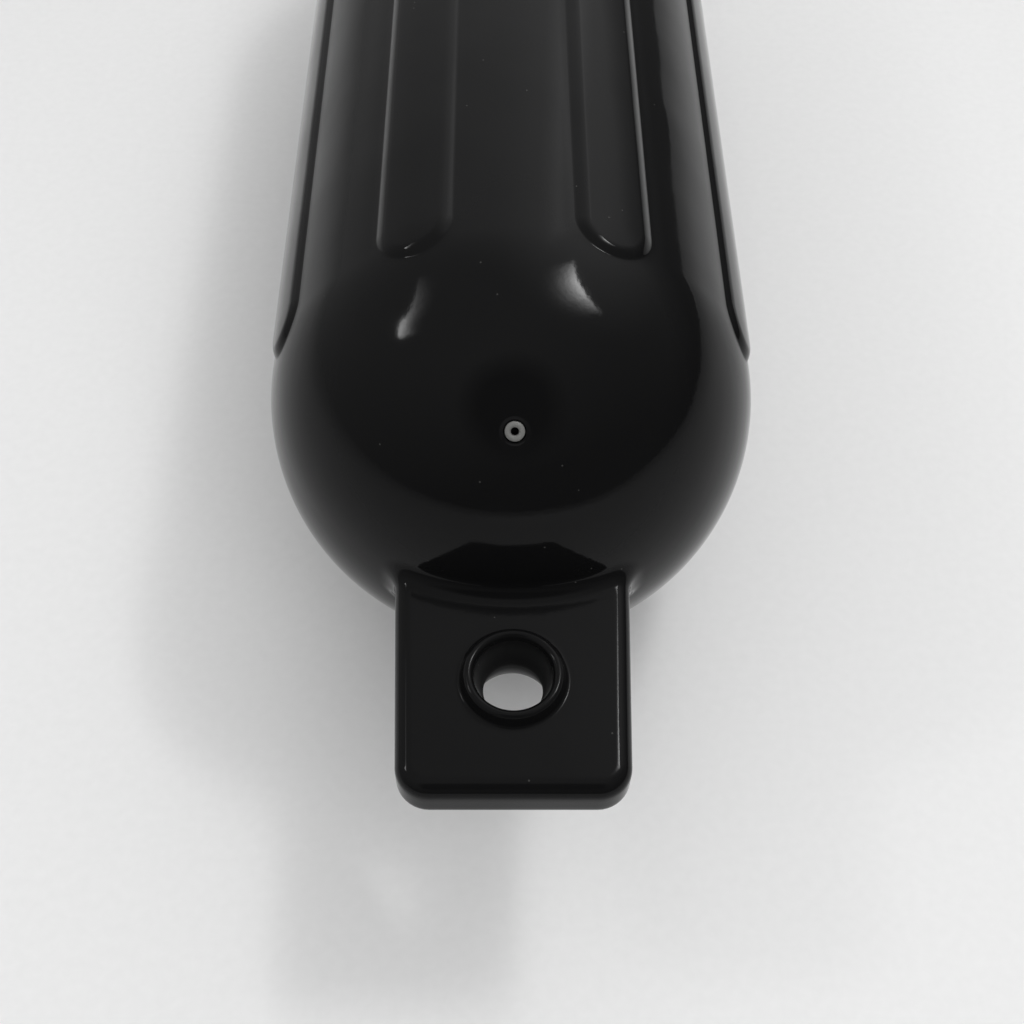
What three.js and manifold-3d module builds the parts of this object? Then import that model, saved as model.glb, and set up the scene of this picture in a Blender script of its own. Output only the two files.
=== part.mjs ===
// Two-eye ribbed boat fender in black PVC, lying on its side as it rests on a floor or a deck.
// Millimetres, +Z up. The long axis runs along Y, and the end with the inflation valve points to -Y.
// The origin is under the middle of the fender, on the surface that it lies on.
import * as THREE from "three";
import { ParametricGeometry } from "three/addons/geometries/ParametricGeometry.js";
import { mergeVertices } from "three/addons/utils/BufferGeometryUtils.js";
import Module from "manifold-3d";

// Body: a cylinder with a half-sphere dome on each end.
const OVERALL_LENGTH = 585;
const BODY_RADIUS = 80.7;
const BODY_SEGMENTS = 56;
const DOME_SEGMENTS = 10;

// Raised rib pads, four on each half of the mould, alike on the upper and the lower half.
const RIB_ANGLES = [22, 66, 114, 158];
const RIB_WIDTH = 25.4;
const RIB_HEIGHT = 1.8;
const RIB_EDGE_WIDTH = 2.6;
const RIB_EDGE_STEPS = 3;
const RIB_OVERRUN = 5.8;
const RIB_END_SEGMENTS = 7;
const RIB_SINK = 2;

// Tab on each end. Its sides draw in a little towards the tip.
const TAB_LENGTH = 64.2;
const TAB_ROOT_WIDTH = 71.6;
const TAB_TIP_WIDTH = 66.4;
const TAB_THICKNESS = 15.6;
const TAB_CORNER_RADIUS = 9.8;
const TAB_CORNER_STEPS = 6;
const TAB_EDGE_RADIUS = 4.8;
const TAB_EDGE_STEPS = 4;
const TAB_FACE_STEPS = 5;
const TAB_SINK = 26;
const TAB_FILLET_RADIUS = 5;
const TAB_FILLET_STEPS = 4;

// Rope eye: a raised lip on both faces of the tab, and a bore that narrows to the middle.
const EYE_TO_TIP = 35.4;
const EYE_THROAT_RADIUS = 8.8;
const EYE_THROAT_LAND = 1.2;
const EYE_CREST_RADIUS = 13.2;
const EYE_CREST_HEIGHT = 4.3;
const EYE_CREST_ROUNDING = 1.5;
const EYE_CREST_STEPS = 4;
const EYE_FOOT_RADIUS = 15.5;
const EYE_FOOT_FILLET = 1.1;
const EYE_FOOT_STEPS = 2;
const EYE_FLANK_LEAN = 15;
const EYE_SEGMENTS = 32;

// Inflation valve, square to the dome on the upper side, and its seat in the body.
const VALVE_FROM_AXIS = 45;
const VALVE_RADIUS = 2.95;
const VALVE_HOLE_RADIUS = 1.15;
const VALVE_HOLE_DEPTH = 7;
const VALVE_LENGTH = 10.5;
const VALVE_STAND_OUT = 0.75;
const VALVE_CHAMFER = 0.6;
const VALVE_RIM_STEPS = 8;
const VALVE_SEGMENTS = 28;
const SEAT_GAP = 0.3;
const SEAT_LIP_WIDTH = 1.3;
const SEAT_LIP_HEIGHT = 0.35;
const SEAT_LIP_DROP = 0.4;
const SEAT_LIP_STEPS = 4;

// How far a fillet's thin edge lies under the surface that it runs into, and how deep its back is in it.
const FEATHER = 0.06;
const BURY = 1.5;
// How far a cutting tool stands out past the surface that it opens.
const TOOL_OVERSHOOT = 1;

const DEG = Math.PI / 180;
const DOME_CENTRE = OVERALL_LENGTH / 2 - TAB_LENGTH - BODY_RADIUS;
// The lowest facet of the body is level, and the fender lies on it.
const AXIS_HEIGHT = BODY_RADIUS * Math.cos(Math.PI / BODY_SEGMENTS);

const wasm = await Module();
wasm.setup();

function solidOf(geometry, matrix = new THREE.Matrix4()) {
  const bare = geometry.clone().applyMatrix4(matrix);
  bare.deleteAttribute("normal");
  bare.deleteAttribute("uv");
  const merged = mergeVertices(bare, 1e-4);
  return new wasm.Manifold(
    new wasm.Mesh({
      numProp: 3,
      vertProperties: merged.attributes.position.array,
      triVerts: new Uint32Array(merged.index.array),
    }),
  );
}

function geometryOf(solid) {
  const mesh = solid.getMesh();
  const geometry = new THREE.BufferGeometry();
  geometry.setAttribute("position", new THREE.BufferAttribute(mesh.vertProperties, 3));
  geometry.setIndex(new THREE.BufferAttribute(mesh.triVerts, 1));
  geometry.computeVertexNormals();
  return geometry;
}

// Points on an arc about (x, y), angles in degrees, both ends included.
function arcPoints(x, y, radius, from, to, segments) {
  const points = [];
  for (let i = 0; i <= segments; i++) {
    const angle = (from + ((to - from) * i) / segments) * DEG;
    points.push(new THREE.Vector2(x + radius * Math.cos(angle), y + radius * Math.sin(angle)));
  }
  return points;
}

// Radius of the round body at a distance along its axis from the middle.
function bodyRadiusAt(along) {
  const past = Math.abs(along) - DOME_CENTRE;
  return past > 0 ? Math.sqrt(Math.max(BODY_RADIUS ** 2 - past ** 2, 0)) : BODY_RADIUS;
}

// LatheGeometry turns about Y, which is the fender's long axis.
function bodyGeometry() {
  const profile = [
    ...arcPoints(0, -DOME_CENTRE, BODY_RADIUS, -90, 0, DOME_SEGMENTS),
    ...arcPoints(0, DOME_CENTRE, BODY_RADIUS, 0, 90, DOME_SEGMENTS),
  ];
  profile[0].x = 0;
  profile[profile.length - 1].x = 0;
  return new THREE.LatheGeometry(profile, BODY_SEGMENTS, Math.PI / BODY_SEGMENTS);
}

// A closed surface through rings of points. Both ways round, the last ring meets the first one or has
// closed up on a line.
function ringedGeometry(rings) {
  const around = rings[0].length;
  return new ParametricGeometry(
    (u, v, target) => {
      const ring = rings[Math.round(v * (rings.length - 1))];
      target.copy(ring[Math.round(u * around) % around]);
    },
    around,
    rings.length - 1,
  );
}

// Rib pad: rings that start on its centre line inside the body, go out to the foot, rise over the soft
// edge and close on the centre line of its top.
function ribGeometry(angle) {
  const halfWidth = RIB_WIDTH / 2;
  const endCentre = DOME_CENTRE + RIB_OVERRUN - halfWidth;
  const levels = [
    [halfWidth, -RIB_SINK],
    [0, -RIB_SINK],
  ];
  for (let step = 0; step <= RIB_EDGE_STEPS; step++) {
    const share = step / RIB_EDGE_STEPS;
    levels.push([share * RIB_EDGE_WIDTH, (RIB_HEIGHT * (1 - Math.cos(Math.PI * share))) / 2]);
  }
  levels.push([(RIB_EDGE_WIDTH + halfWidth) / 2, RIB_HEIGHT]);
  levels.push([halfWidth, RIB_HEIGHT]);
  const rings = levels.map(([inset, height]) => {
    const outline = [
      ...arcPoints(0, endCentre, halfWidth - inset, 0, 180, RIB_END_SEGMENTS),
      ...arcPoints(0, -endCentre, halfWidth - inset, 180, 360, RIB_END_SEGMENTS),
    ];
    return outline.map((point) => {
      const turn = angle * DEG + point.x / BODY_RADIUS;
      const radius = bodyRadiusAt(point.y) + height;
      return new THREE.Vector3(radius * Math.sin(turn), point.y, radius * Math.cos(turn));
    });
  });
  return ringedGeometry(rings);
}

// Half the tab's width at a distance from its tip.
function tabHalfWidth(fromTip) {
  const grow = (TAB_ROOT_WIDTH - TAB_TIP_WIDTH) / TAB_LENGTH;
  return (TAB_TIP_WIDTH + grow * fromTip) / 2;
}

// Flat tab, its tip at -Y: an outline with two round corners, extruded with round edges.
function tabGeometry() {
  const tip = -OVERALL_LENGTH / 2;
  const root = tip + TAB_LENGTH + TAB_SINK;
  const rootHalf = tabHalfWidth(TAB_LENGTH + TAB_SINK);
  const lean = Math.atan((TAB_ROOT_WIDTH - TAB_TIP_WIDTH) / 2 / TAB_LENGTH);
  const cornerY = tip + TAB_CORNER_RADIUS;
  const cornerX = tabHalfWidth(TAB_CORNER_RADIUS) - TAB_CORNER_RADIUS / Math.cos(lean);
  const outline = new THREE.Shape();
  outline.moveTo(rootHalf, root);
  outline.lineTo(-rootHalf, root);
  outline.absarc(-cornerX, cornerY, TAB_CORNER_RADIUS, Math.PI + lean, 1.5 * Math.PI, false);
  outline.absarc(cornerX, cornerY, TAB_CORNER_RADIUS, 1.5 * Math.PI, 2 * Math.PI - lean, false);
  outline.closePath();
  const plate = new THREE.ExtrudeGeometry(outline, {
    depth: TAB_THICKNESS - 2 * TAB_EDGE_RADIUS,
    bevelThickness: TAB_EDGE_RADIUS,
    bevelSize: TAB_EDGE_RADIUS,
    bevelOffset: -TAB_EDGE_RADIUS,
    bevelSegments: TAB_EDGE_STEPS,
    curveSegments: TAB_CORNER_STEPS,
  });
  return plate.translate(0, 0, TAB_EDGE_RADIUS - TAB_THICKNESS / 2);
}

// Section of the tab at its root, taken once round. Each point has a share of the way to the side, the
// face that it belongs to and the direction that faces out of the tab there.
function rootSection() {
  const section = [];
  const corners = [
    [1, 1, 0],
    [-1, 1, 90],
    [-1, -1, 180],
    [1, -1, 270],
  ];
  for (const [side, face, from] of corners) {
    for (const out of arcPoints(0, 0, 1, from, from + 90, TAB_EDGE_STEPS)) {
      section.push({ side, face, outX: out.x, outZ: out.y });
    }
    if (side === face) {
      for (let step = 1; step < TAB_FACE_STEPS; step++) {
        section.push({ side: side * (1 - (2 * step) / TAB_FACE_STEPS), face, outX: 0, outZ: face });
      }
    }
  }
  return section;
}

// Hollow fillet between the tab and the dome: a ring whose section has two straight sides inside the
// tab and the dome, and a hollow arc outside.
function tabFilletGeometry() {
  const reachOut = TAB_FILLET_RADIUS;
  const hollow = arcPoints(reachOut, reachOut, reachOut, 180, 270, TAB_FILLET_STEPS);
  const profile = hollow.map((point) => [point.x - FEATHER, point.y - FEATHER]);
  profile.push([reachOut - FEATHER, -BURY]);
  profile.push([-BURY, -BURY]);
  profile.push([-BURY, reachOut - FEATHER]);
  profile.push(profile[0]);
  const domeAt = (x, z) => DOME_CENTRE + Math.sqrt(BODY_RADIUS ** 2 - x ** 2 - z ** 2);
  const rings = profile.reverse().map(([out, above]) =>
    rootSection().map(({ side, face, outX, outZ }) => {
      const reach = TAB_EDGE_RADIUS + out;
      const z = face * (TAB_THICKNESS / 2 - TAB_EDGE_RADIUS) + outZ * reach;
      const xAtWidth = (halfWidth) => side * (halfWidth - TAB_EDGE_RADIUS) + outX * reach;
      const fromTip = OVERALL_LENGTH / 2 - domeAt(xAtWidth(TAB_ROOT_WIDTH / 2), z) - above;
      const x = xAtWidth(tabHalfWidth(fromTip));
      return new THREE.Vector3(x, -(domeAt(x, z) + above), z);
    }),
  );
  return ringedGeometry(rings);
}

// Upper half of the rope eye's section from the throat outwards: (radius, height over mid-plane).
function eyeHalfProfile() {
  const face = TAB_THICKNESS / 2;
  const rounding = EYE_CREST_ROUNDING;
  const crest = face + EYE_CREST_HEIGHT - rounding;
  const bore = new THREE.Vector2(EYE_THROAT_RADIUS, EYE_THROAT_LAND / 2);
  // The bore's wall meets the crest's rounding as a tangent.
  const run = new THREE.Vector2(EYE_CREST_RADIUS - bore.x, crest - bore.y);
  const toCrest = Math.atan2(run.y, run.x);
  const wall = toCrest + Math.asin(rounding / run.length());
  const footX = EYE_FOOT_RADIUS + EYE_FOOT_FILLET;
  const footY = face + EYE_FOOT_FILLET - FEATHER;
  return [
    bore,
    ...arcPoints(EYE_CREST_RADIUS, crest, rounding, wall / DEG + 90, EYE_FLANK_LEAN, EYE_CREST_STEPS),
    ...arcPoints(footX, footY, EYE_FOOT_FILLET, 180 + EYE_FLANK_LEAN, 270, EYE_FOOT_STEPS),
    new THREE.Vector2(footX, face - BURY),
  ];
}

// Ring with the lip on both faces. LatheGeometry turns about Y, so a quarter turn stands it on Z.
function eyeGeometry() {
  const upper = eyeHalfProfile();
  const lower = upper.map((point) => new THREE.Vector2(point.x, -point.y));
  const closed = [...lower, ...upper.reverse(), lower[0].clone()];
  return new THREE.LatheGeometry(closed, EYE_SEGMENTS).rotateX(Math.PI / 2);
}

function eyeHoleGeometry() {
  const depth = TAB_THICKNESS + 2 * TOOL_OVERSHOOT;
  const hole = new THREE.CylinderGeometry(EYE_CREST_RADIUS, EYE_CREST_RADIUS, depth, EYE_SEGMENTS);
  return hole.rotateX(Math.PI / 2);
}

// Turns a lathe's Y axis to the valve's axis and sets its zero on the dome.
function valveMatrix() {
  const angle = VALVE_FROM_AXIS * DEG;
  const out = new THREE.Vector3(0, -Math.cos(angle), Math.sin(angle));
  const turn = new THREE.Quaternion().setFromUnitVectors(new THREE.Vector3(0, 1, 0), out);
  const place = out.clone().multiplyScalar(BODY_RADIUS);
  place.y -= DOME_CENTRE;
  return new THREE.Matrix4().compose(place, turn, new THREE.Vector3(1, 1, 1));
}

// Valve: a plug with a thick round rim and a blind hole for the needle.
function valveGeometry() {
  const rimRadius = (VALVE_RADIUS - VALVE_HOLE_RADIUS) / 2;
  const rimCentre = VALVE_HOLE_RADIUS + rimRadius;
  const top = VALVE_STAND_OUT - rimRadius;
  const bottom = VALVE_STAND_OUT - VALVE_LENGTH;
  const profile = [
    new THREE.Vector2(0, bottom),
    new THREE.Vector2(VALVE_RADIUS - VALVE_CHAMFER, bottom),
    new THREE.Vector2(VALVE_RADIUS, bottom + VALVE_CHAMFER),
    ...arcPoints(rimCentre, top, rimRadius, 0, 180, VALVE_RIM_STEPS),
    new THREE.Vector2(VALVE_HOLE_RADIUS, VALVE_STAND_OUT - VALVE_HOLE_DEPTH),
    new THREE.Vector2(0, VALVE_STAND_OUT - VALVE_HOLE_DEPTH),
  ];
  return new THREE.LatheGeometry(profile, VALVE_SEGMENTS);
}

// Seat for the valve, cut into the body with a small gap all round.
function seatGeometry() {
  const bottom = VALVE_STAND_OUT - VALVE_LENGTH - SEAT_GAP;
  const top = SEAT_LIP_HEIGHT + TOOL_OVERSHOOT;
  const radius = VALVE_RADIUS + SEAT_GAP;
  const seat = new THREE.CylinderGeometry(radius, radius, top - bottom, VALVE_SEGMENTS);
  return seat.translate(0, (top + bottom) / 2, 0);
}

// Low soft lip on the dome round the seat.
function seatLipGeometry() {
  const inner = VALVE_RADIUS + SEAT_GAP;
  const outer = inner + SEAT_LIP_WIDTH;
  const closed = [new THREE.Vector2(outer, -BURY)];
  for (let step = SEAT_LIP_STEPS; step >= 0; step--) {
    const share = step / SEAT_LIP_STEPS;
    const height = SEAT_LIP_HEIGHT * Math.cos((Math.PI / 2) * share) - SEAT_LIP_DROP * share;
    closed.push(new THREE.Vector2(inner + SEAT_LIP_WIDTH * share, height));
  }
  closed.push(new THREE.Vector2(VALVE_RADIUS, SEAT_LIP_HEIGHT));
  closed.push(new THREE.Vector2(VALVE_RADIUS, -BURY));
  closed.push(closed[0].clone());
  return new THREE.LatheGeometry(closed, VALVE_SEGMENTS);
}

// The end at -Y as a solid of its own: tab, fillet and rope eye.
function endSolid() {
  const eyePlace = new THREE.Matrix4().makeTranslation(0, EYE_TO_TIP - OVERALL_LENGTH / 2, 0);
  return solidOf(tabGeometry())
    .add(solidOf(tabFilletGeometry()))
    .subtract(solidOf(eyeHoleGeometry(), eyePlace))
    .add(solidOf(eyeGeometry(), eyePlace));
}

function fenderBody() {
  let body = solidOf(bodyGeometry());
  for (const angle of RIB_ANGLES) {
    body = body.add(solidOf(ribGeometry(angle))).add(solidOf(ribGeometry(-angle)));
  }
  const end = endSolid();
  body = body.add(end).add(end.rotate([0, 0, 180]));
  body = body.add(solidOf(seatLipGeometry(), valveMatrix()));
  body = body.subtract(solidOf(seatGeometry(), valveMatrix()));
  const material = new THREE.MeshStandardMaterial({
    color: 0x0c0c0c,
    roughness: 0.22,
    metalness: 0,
  });
  const mesh = new THREE.Mesh(geometryOf(body), material);
  mesh.name = "fender_body";
  return mesh;
}

function inflationValve() {
  const material = new THREE.MeshStandardMaterial({
    color: 0x8a8a88,
    roughness: 0.5,
    metalness: 0,
  });
  const mesh = new THREE.Mesh(valveGeometry(), material);
  mesh.name = "inflation_valve";
  mesh.applyMatrix4(valveMatrix());
  return mesh;
}

const fender = new THREE.Group();
fender.name = "fender";
fender.add(fenderBody(), inflationValve());
fender.position.z = AXIS_HEIGHT;

export default fender;
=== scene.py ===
"""Two-eye ribbed boat fender in glossy black PVC, lying on a pale studio floor.

Metres, +Z up. The long axis runs along Y, the end with the inflation valve points to -Y, and the
fender's middle is over the origin. The skin is one closed mesh: the ribs, domes, tabs, rope eyes and
the valve's seat share their points, so that the gloss runs over them without a break.
"""
import math

import bmesh
import bpy
import numpy as np
from mathutils import Matrix, Vector


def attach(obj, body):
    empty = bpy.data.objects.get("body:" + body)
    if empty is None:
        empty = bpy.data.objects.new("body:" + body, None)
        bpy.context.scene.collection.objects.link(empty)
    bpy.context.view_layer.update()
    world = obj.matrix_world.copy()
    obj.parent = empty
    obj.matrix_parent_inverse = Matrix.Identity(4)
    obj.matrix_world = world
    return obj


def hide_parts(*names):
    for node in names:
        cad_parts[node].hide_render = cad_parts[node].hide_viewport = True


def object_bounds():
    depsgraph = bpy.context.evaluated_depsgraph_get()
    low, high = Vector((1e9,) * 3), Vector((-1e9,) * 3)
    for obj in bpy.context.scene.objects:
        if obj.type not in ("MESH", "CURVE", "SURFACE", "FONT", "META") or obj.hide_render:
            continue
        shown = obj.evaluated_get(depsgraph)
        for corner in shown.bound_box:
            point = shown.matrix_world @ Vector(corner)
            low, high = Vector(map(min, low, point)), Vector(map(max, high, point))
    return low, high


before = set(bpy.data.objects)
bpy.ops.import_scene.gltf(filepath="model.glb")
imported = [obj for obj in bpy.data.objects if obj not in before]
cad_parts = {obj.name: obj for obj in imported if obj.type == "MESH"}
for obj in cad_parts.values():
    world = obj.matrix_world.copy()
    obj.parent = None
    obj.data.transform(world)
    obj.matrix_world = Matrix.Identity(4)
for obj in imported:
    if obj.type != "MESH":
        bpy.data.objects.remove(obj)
cad_low, cad_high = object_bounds()

MM = 0.001

# Body, worked out from the CAD part's box. That part has flat facets, so its box falls a little short
# of the round body.
FACET_LOSS = 0.13 * MM
HALF_LENGTH = (cad_high.y - cad_low.y) / 2
BODY_RADIUS = (cad_high.x - cad_low.x) / 2 + FACET_LOSS
AXIS_HEIGHT = (cad_high.z - cad_low.z) / 2
TAB_LENGTH = 64.2 * MM
DOME_CENTRE = HALF_LENGTH - TAB_LENGTH - BODY_RADIUS

# Raised rib pads: angles from the top, on both sides. A pad's edge rises from a hollow foot, which takes
# the first share of its width, to a rounded shoulder, and the pad is a little crowned. Its ends rise in
# a shorter run than its sides, and it runs on past the start of the dome.
RIB_ANGLES = (22, 66, 114, 158)
RIB_HALF_WIDTH = 13.1 * MM
RIB_HEIGHT = 1.5 * MM
RIB_CROWN = 0.45 * MM
RIB_EDGE_WIDTH = 5.0 * MM
RIB_FOOT_SHARE = 0.16
RIB_END_SHORTER = 0.7 * MM
RIB_OVERRUN = 6.2 * MM
RIB_PATCH_MARGIN = 8 * MM
RIB_END_CENTRE = DOME_CENTRE + RIB_OVERRUN - RIB_HALF_WIDTH
RIB_PATCH_END = RIB_END_CENTRE + RIB_HALF_WIDTH + RIB_PATCH_MARGIN
RIB_EDGE_STEPS = 14
RIB_TOP_STEPS = 7
RIB_OUTSIDE_STEPS = 8
RIB_STRAIGHT_STEPS = 18
RIB_SIDE_STEPS = 12
RIB_ACROSS_STEPS = 24

# Dome rows, from the ribs' patches past the valve's patch to the tab's fillet. Degrees from the
# widest circle.
VALVE_LATITUDE = 45
VALVE_PATCH_REACH = 7.5
VALVE_PATCH_COLUMNS = 6
DOME_STEPS = 14
DOME_TO_FILLET_STEPS = 12

# Tab and its fillet to the dome.
TAB_ROOT_WIDTH = 71.6 * MM
TAB_TIP_WIDTH = 66.4 * MM
TAB_THICKNESS = 15.6 * MM
TAB_CORNER_RADIUS = 9.8 * MM
TAB_EDGE_RADIUS = 4.8 * MM
TAB_FILLET_RADIUS = 5 * MM
TAB_FILLET_STEPS = 9
TAB_EDGE_STEPS = 10
TAB_SIDE_STEPS = 2
TAB_ROOT_STEPS = 5
TAB_LINE_STEPS = 5
TAB_ARC_STEPS = 5
TAB_FACE_COLUMNS = 36
TAB_LEAN = math.atan((TAB_ROOT_WIDTH - TAB_TIP_WIDTH) / 2 / TAB_LENGTH)

# Rope eye: a lathe-like ring of rows inside a square patch of the tab's face.
EYE_TO_TIP = 35.4 * MM
EYE_PATCH_HALF = 19.5 * MM
EYE_PATCH_STEPS = 12
EYE_THROAT_RADIUS = 8.8 * MM
EYE_THROAT_LAND = 1.2 * MM
EYE_CREST_RADIUS = 13.2 * MM
EYE_CREST_HEIGHT = 4.3 * MM
EYE_CREST_ROUNDING = 1.5 * MM
EYE_FOOT_RADIUS = 15.5 * MM
EYE_FOOT_FILLET = 1.1 * MM
EYE_FLANK_LEAN = 15
EYE_FOOT_STEPS = 5
EYE_CREST_STEPS = 14
EYE_WALL_STEPS = 10
EYE_OUTSIDE_STEPS = 7
# The throat's edge is eased over its land, at these shares of the land's half width.
EYE_THROAT_EASE = 0.18
EYE_THROAT_SHARES = (-0.9, -0.45, 0.1, 0.6, 1)

# Valve and its seat.
VALVE_RADIUS = 2.95 * MM
VALVE_HOLE_RADIUS = 1.15 * MM
VALVE_HOLE_DEPTH = 7 * MM
VALVE_LENGTH = 10.5 * MM
VALVE_STAND_OUT = 0.75 * MM
VALVE_CHAMFER = 0.6 * MM
VALVE_SEGMENTS = 64
VALVE_RIM_STEPS = 20
SEAT_RADIUS = VALVE_RADIUS + 0.3 * MM
SEAT_DEPTH = VALVE_LENGTH - VALVE_STAND_OUT + 0.3 * MM
SEAT_LIP_WIDTH = 1.3 * MM
SEAT_LIP_HEIGHT = 0.35 * MM
SEAT_OUTSIDE_STEPS = 6
SEAT_LIP_STEPS = 8
SEAT_WALL_STEPS = 5

# Points closer than this are one point. Edges sharper than this angle stay sharp.
WELD = 0.002 * MM
SHARP_ANGLE = math.radians(50)

# Black PVC, its dust, and its roughness from the glossiest to the haziest spots. The bore is rubbed
# duller by the rope: it is dull up to the first radius and glossy again at the second.
PVC_BLACK = (0.0054, 0.0054, 0.0056, 1)
PVC_ROUGHNESS = (0.045, 0.095)
PVC_IOR = 1.5
PVC_SPECULAR = 0.11
DUST_TONE = (0.05, 0.05, 0.048, 1)
DUST_SCALE = 210
DUST_SIZE = (0.045, 0.065)
DUST_BARE_SHARE = (0.80, 0.81)
EYE_ROUGHNESS = 0.75
EYE_ROUGH_REACH = (9.4 * MM, 12.6 * MM)

# Grey valve. Painted shade darkens its hole: it is darkest from the first of these depths under the rim, and
# grey at the second.
VALVE_DARKER = (0.13, 0.13, 0.125, 1)
VALVE_LIGHTER = (0.18, 0.18, 0.172, 1)
VALVE_HOLE_PAINTED_SHADE = (0.006, 0.006, 0.006, 1)
VALVE_HOLE_SHADE_DEPTHS = (2.2 * MM, 0.9 * MM)
VALVE_ROUGHNESS = (0.42, 0.58)

# White paper on the floor.
PAPER_DARKER = (0.84, 0.84, 0.84, 1)
PAPER_LIGHTER = (0.89, 0.89, 0.89, 1)
FLOOR_REACH = 20

# Camera of the photograph: its place, where it looks and how it is rolled.
PHOTO_SIDE = 1024
SENSOR_WIDTH = 36
FOCAL_PIXELS = 1340.16
CAMERA_TILT = 34.7616
CAMERA_ROLL = -0.3730
CAMERA_SPIN = -1.0290
CAMERA_TO_DOME = Vector((-0.32241, -37.1009, 457.938)) * MM

# Room: it lightens towards a side over a range of cosines. A light wall beyond the fender and a halo
# round the key light are added, each with its side, the cosine at which it has faded out and its
# strength.
ROOM_SIDE = Vector((-0.35, 0.5, 0.79))
ROOM_RANGE = (-0.3, 0.7)
ROOM_TONES = (0.12, 0.54)
WALL_SIDE = Vector((0.123, 0.874, 0.469))
WALL_REACH = 0.7
WALL_LIGHT = 0.48
KEY_HALO_SIDE = Vector((0.448, 0.497, 0.743))
KEY_HALO_REACH = 0.8
KEY_HALO = 0.72

# Upright strip of lighter wall: square to this side, so wide, lit upward over the first range and
# faded out overhead over the second.
STRIP_SIDE = Vector((0.9455, -0.3256, 0))
STRIP_HALF_WIDTH = 0.1
STRIP_SOFTNESS = 1.5
STRIP_RISE = Vector((0, 0.5, 1))
STRIP_LIT_RANGE = (0.6, 0.95)
STRIP_FADE_RANGE = (0.6, 0.8)
STRIP_LIGHT = 0.56

# The room is darker low down at the far right, and darkest towards the photographer, up to the first
# of these distances between two directions.
ROOM_RISE = Vector((-0.3, -0.3, 1))
ROOM_LOW_RANGE = (-0.3, 0)
ROOM_LOW_SHARE = 0.3
PHOTOGRAPHER_SIDE = Vector((0, -0.66, 0.75))
PHOTOGRAPHER_REACH = (0.26, 0.46)
PHOTOGRAPHER_SHARE = 0.05

# Lamps: how steeply they fade towards their top and, over their width, how bright they are and how far
# up their lit part begins. LIT_EDGE is the softness of its edge, as a share of the height.
LIT_EDGE = 0.03
KEY_FALL = 5
SIDE_FALL = 4
KEY_BRIGHTNESS = ((0, 0), (0.25, 0.5), (0.5, 1), (0.75, 0.6), (1, 0))
KEY_FIRST_LIGHT = ((0, 0), (0.5, 0.2), (1, 0))
SIDE_BRIGHTNESS = ((0, 0), (0.3, 0.12), (0.6, 0.3), (0.85, 1), (1, 0.8))
SIDE_FIRST_LIGHT = ((0, 0.3), (0.55, 0.3), (0.8, 0), (1, 0))


def smooth_step(share):
    return (1 - math.cos(math.pi * share)) / 2


def arc_points(x, y, radius, start, end, steps):
    """Points on an arc about (x, y), angles in degrees, both ends included."""
    angles = np.radians(np.linspace(start, end, steps + 1))
    return [(x + radius * math.cos(a), y + radius * math.sin(a)) for a in angles]


def body_radius_at(along):
    past = abs(along) - DOME_CENTRE
    return math.sqrt(max(BODY_RADIUS**2 - past**2, 0)) if past > 0 else BODY_RADIUS


def on_body(angle, along, height=0.0):
    """Point at an angle in degrees from the top and a distance along the axis towards -Y."""
    radius = body_radius_at(along) + height
    turn = math.radians(angle)
    return (radius * math.sin(turn), -along, radius * math.cos(turn))


def on_dome(angle, latitude, height=0.0):
    """Point on the -Y dome, its latitude in degrees from the widest circle."""
    radius = BODY_RADIUS + height
    ring = radius * math.cos(math.radians(latitude))
    along = DOME_CENTRE + radius * math.sin(math.radians(latitude))
    turn = math.radians(angle)
    return (ring * math.sin(turn), -along, ring * math.cos(turn))


def dome_at(x, z):
    return DOME_CENTRE + math.sqrt(BODY_RADIUS**2 - x**2 - z**2)


def between(first, last, share):
    return tuple(a + (b - a) * share for a, b in zip(first, last))


class Skin:
    """Collects rows of points as quads. Points that meet are welded at the end."""

    def __init__(self):
        self.points = []
        self.faces = []

    def rows(self, rows, closed=False):
        """Quads between rows of equal length. A closed row runs on from its last point to its first."""
        start = len(self.points)
        count = len(rows[0])
        for row in rows:
            self.points.extend(row)
        across = count if closed else count - 1
        for r in range(len(rows) - 1):
            for c in range(across):
                here = start + r * count
                right = (c + 1) % count
                self.faces.append((here + c, here + right, here + count + right, here + count + c))

    def turned(self):
        """The same skin, half a turn round the vertical axis."""
        other = Skin()
        other.points = [(-x, -y, z) for x, y, z in self.points]
        other.faces = list(self.faces)
        return other

    def join(self, other):
        start = len(self.points)
        self.points.extend(other.points)
        self.faces.extend(tuple(start + i for i in face) for face in other.faces)


def rib_sectors():
    """(middle, span to the right, span to the left) of each rib's sector, in order round the body."""
    middles = sorted(RIB_ANGLES + tuple(360 - a for a in RIB_ANGLES))
    sectors = []
    for i, middle in enumerate(middles):
        after = (middles[(i + 1) % len(middles)] - middle) % 360 / 2
        before = (middle - middles[i - 1]) % 360 / 2
        sectors.append((middle, after, before))
    return sectors


def rib_height(width):
    """Height of a rib where it is this far from its middle line."""
    share = min((RIB_HALF_WIDTH - width) / RIB_EDGE_WIDTH, 1)
    foot = RIB_FOOT_SHARE
    run = share**2 / (2 * foot) if share < foot else share - foot / 2
    shoulder = math.sin(math.pi / 2 * run / (1 - foot / 2))
    return RIB_HEIGHT * shoulder + RIB_CROWN * (1 - (width / RIB_HALF_WIDTH) ** 2) ** 2


def half_stadium(half_width, end_reach):
    """Outline of a rib's half: up its right side from the middle, round its end and back on its left."""
    steps = 2 * RIB_SIDE_STEPS + RIB_ACROSS_STEPS
    along = np.linspace(0, RIB_END_CENTRE, RIB_STRAIGHT_STEPS, endpoint=False)
    turns = arc_points(0, 0, 1, 0, 180, steps)
    end = [(half_width * x, RIB_END_CENTRE + end_reach * y) for x, y in turns]
    return [(half_width, t) for t in along] + end + [(-half_width, t) for t in along[::-1]]


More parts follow.
